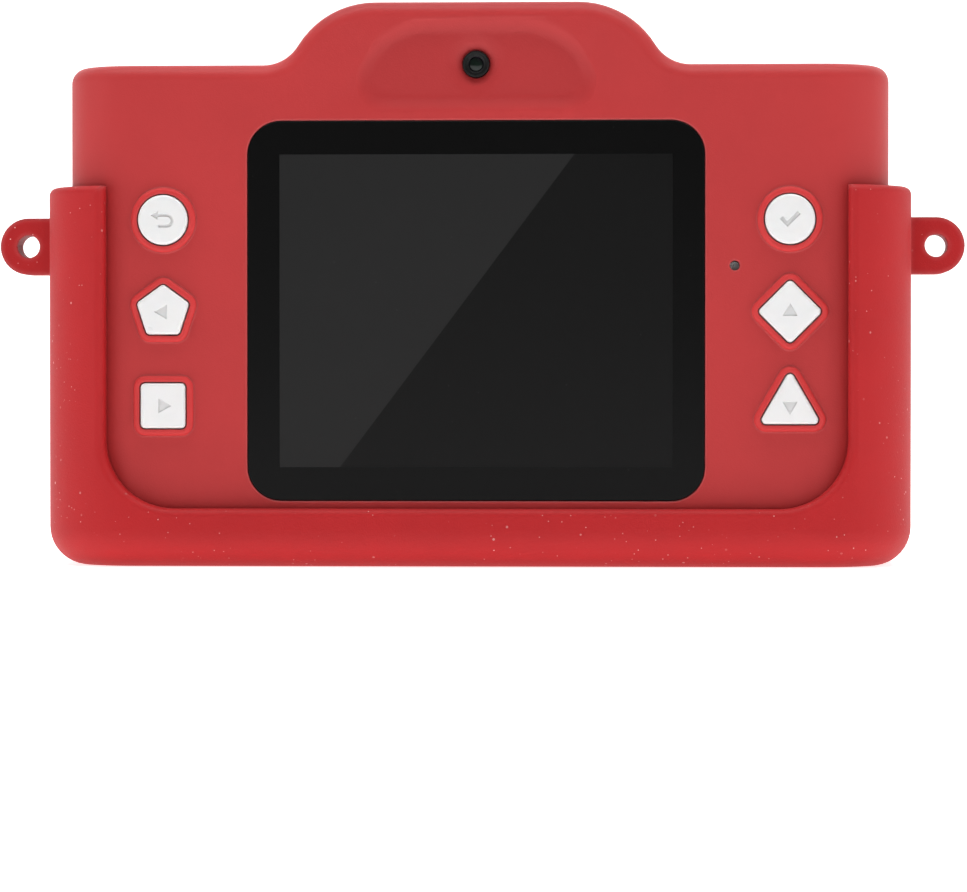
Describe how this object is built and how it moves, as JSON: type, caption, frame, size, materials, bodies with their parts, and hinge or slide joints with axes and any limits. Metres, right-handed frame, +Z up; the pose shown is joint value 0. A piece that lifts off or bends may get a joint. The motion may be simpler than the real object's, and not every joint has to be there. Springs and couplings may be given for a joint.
{
  "type": "compact digital camera",
  "caption": "Pocket digital camera with a rear screen and push buttons, a round front lens and a soft lift-off sleeve with lanyard ears.",
  "frame": {"origin": "under the middle of the camera, on the flat underside of the sleeve, on the plane where the casing halves meet", "axes": "+X to the right as seen from the screen side, +Y towards what the front lens looks at, +Z up"},
  "size_m": [0.1006, 0.0315, 0.0578],
  "materials": {
    "casing": "satin moulded plastic",
    "sleeve": "matt silicone rubber",
    "screen_glass": "black-bordered cover glass",
    "tape": "black adhesive tape",
    "display": "display laminate",
    "steel": "drawn steel",
    "flex": "polyimide flat cable",
    "board": "solder mask over glass laminate",
    "switch": "switch housing",
    "boot": "soft rubber",
    "black_plastic": "black moulded plastic",
    "connector": "ivory connector plastic",
    "lens_glass": "coated lens glass",
    "bezel": "glossy black ring",
    "clear_window": "clear acrylic disc",
    "battery_foil": "foil pouch",
    "foam": "closed-cell foam",
    "lead": "insulated wire",
    "screw": "plated steel",
    "button": "white moulded plastic",
    "top_button": "white moulded plastic",
    "plunger": "switch plunger"
  },
  "bodies": {
    "camera": {"rear_shell": "casing", "front_shell": "casing", "screen_glass": "screen_glass", "screen_adhesive": "tape", "display_panel": "display", "display_frame": "steel", "display_flex": "flex", "main_board": "board", "rear_switch_bases": "switch", "top_switch_bases": "switch", "microphone": "steel", "microphone_boot": "boot", "usb_socket": "steel", "usb_tongue": "black_plastic", "card_slot": "steel", "board_chips": "black_plastic", "flex_connectors": "connector", "rear_camera_module": "black_plastic", "rear_lens_barrel": "black_plastic", "rear_lens_glass": "lens_glass", "rear_camera_flex": "flex", "front_lens_bezel": "bezel", "front_lens_window": "clear_window", "front_camera_module": "black_plastic", "front_lens_barrel": "black_plastic", "front_lens_glass": "lens_glass", "front_camera_flex": "flex", "battery": "battery_foil", "battery_pad": "foam", "battery_connector": "connector", "battery_leads": "lead", "speaker": "steel", "speaker_gasket": "foam", "speaker_leads": "lead", "shell_screws": "screw", "board_screws": "screw"},
    "back_button_assembly": {"back_button": "button", "back_button_plunger": "plunger"},
    "pentagon_button_assembly": {"pentagon_button": "button", "pentagon_button_plunger": "plunger"},
    "square_button_assembly": {"square_button": "button", "square_button_plunger": "plunger"},
    "ok_button_assembly": {"ok_button": "button", "ok_button_plunger": "plunger"},
    "diamond_button_assembly": {"diamond_button": "button", "diamond_button_plunger": "plunger"},
    "triangle_button_assembly": {"triangle_button": "button", "triangle_button_plunger": "plunger"},
    "shutter_button_assembly": {"shutter_button": "top_button", "shutter_button_plunger": "plunger"},
    "power_button_assembly": {"power_button": "top_button", "power_button_plunger": "plunger"},
    "card": {"memory_card": "black_plastic"},
    "sleeve": {"silicone_sleeve": "sleeve"}
  },
  "joints": [
    {"name": "back_button_press", "type": "slide", "parent": "camera", "child": "back_button_assembly", "axis": [0, 1, 0], "range_m": [0, 0.0004], "stiffness_N_per_m": 300, "springref_m": -0.0002},
    {"name": "pentagon_button_press", "type": "slide", "parent": "camera", "child": "pentagon_button_assembly", "axis": [0, 1, 0], "range_m": [0, 0.0004], "stiffness_N_per_m": 300, "springref_m": -0.0002},
    {"name": "square_button_press", "type": "slide", "parent": "camera", "child": "square_button_assembly", "axis": [0, 1, 0], "range_m": [0, 0.0004], "stiffness_N_per_m": 300, "springref_m": -0.0002},
    {"name": "ok_button_press", "type": "slide", "parent": "camera", "child": "ok_button_assembly", "axis": [0, 1, 0], "range_m": [0, 0.0004], "stiffness_N_per_m": 300, "springref_m": -0.0002},
    {"name": "diamond_button_press", "type": "slide", "parent": "camera", "child": "diamond_button_assembly", "axis": [0, 1, 0], "range_m": [0, 0.0004], "stiffness_N_per_m": 300, "springref_m": -0.0002},
    {"name": "triangle_button_press", "type": "slide", "parent": "camera", "child": "triangle_button_assembly", "axis": [0, 1, 0], "range_m": [0, 0.0004], "stiffness_N_per_m": 300, "springref_m": -0.0002},
    {"name": "shutter_button_press", "type": "slide", "parent": "camera", "child": "shutter_button_assembly", "axis": [0, 0, -1], "range_m": [0, 0.0004], "stiffness_N_per_m": 300, "springref_m": -0.0002},
    {"name": "power_button_press", "type": "slide", "parent": "camera", "child": "power_button_assembly", "axis": [0, 0, -1], "range_m": [0, 0.0004], "stiffness_N_per_m": 300, "springref_m": -0.0002},
    {"name": "card_slide", "type": "slide", "parent": "camera", "child": "card", "axis": [0, 0, -1], "range_m": [0, 0.014]},
    {"name": "sleeve_slide", "type": "slide", "parent": "camera", "child": "sleeve", "axis": [0, 0, -1], "range_m": [0, 0.06]}
  ]
}
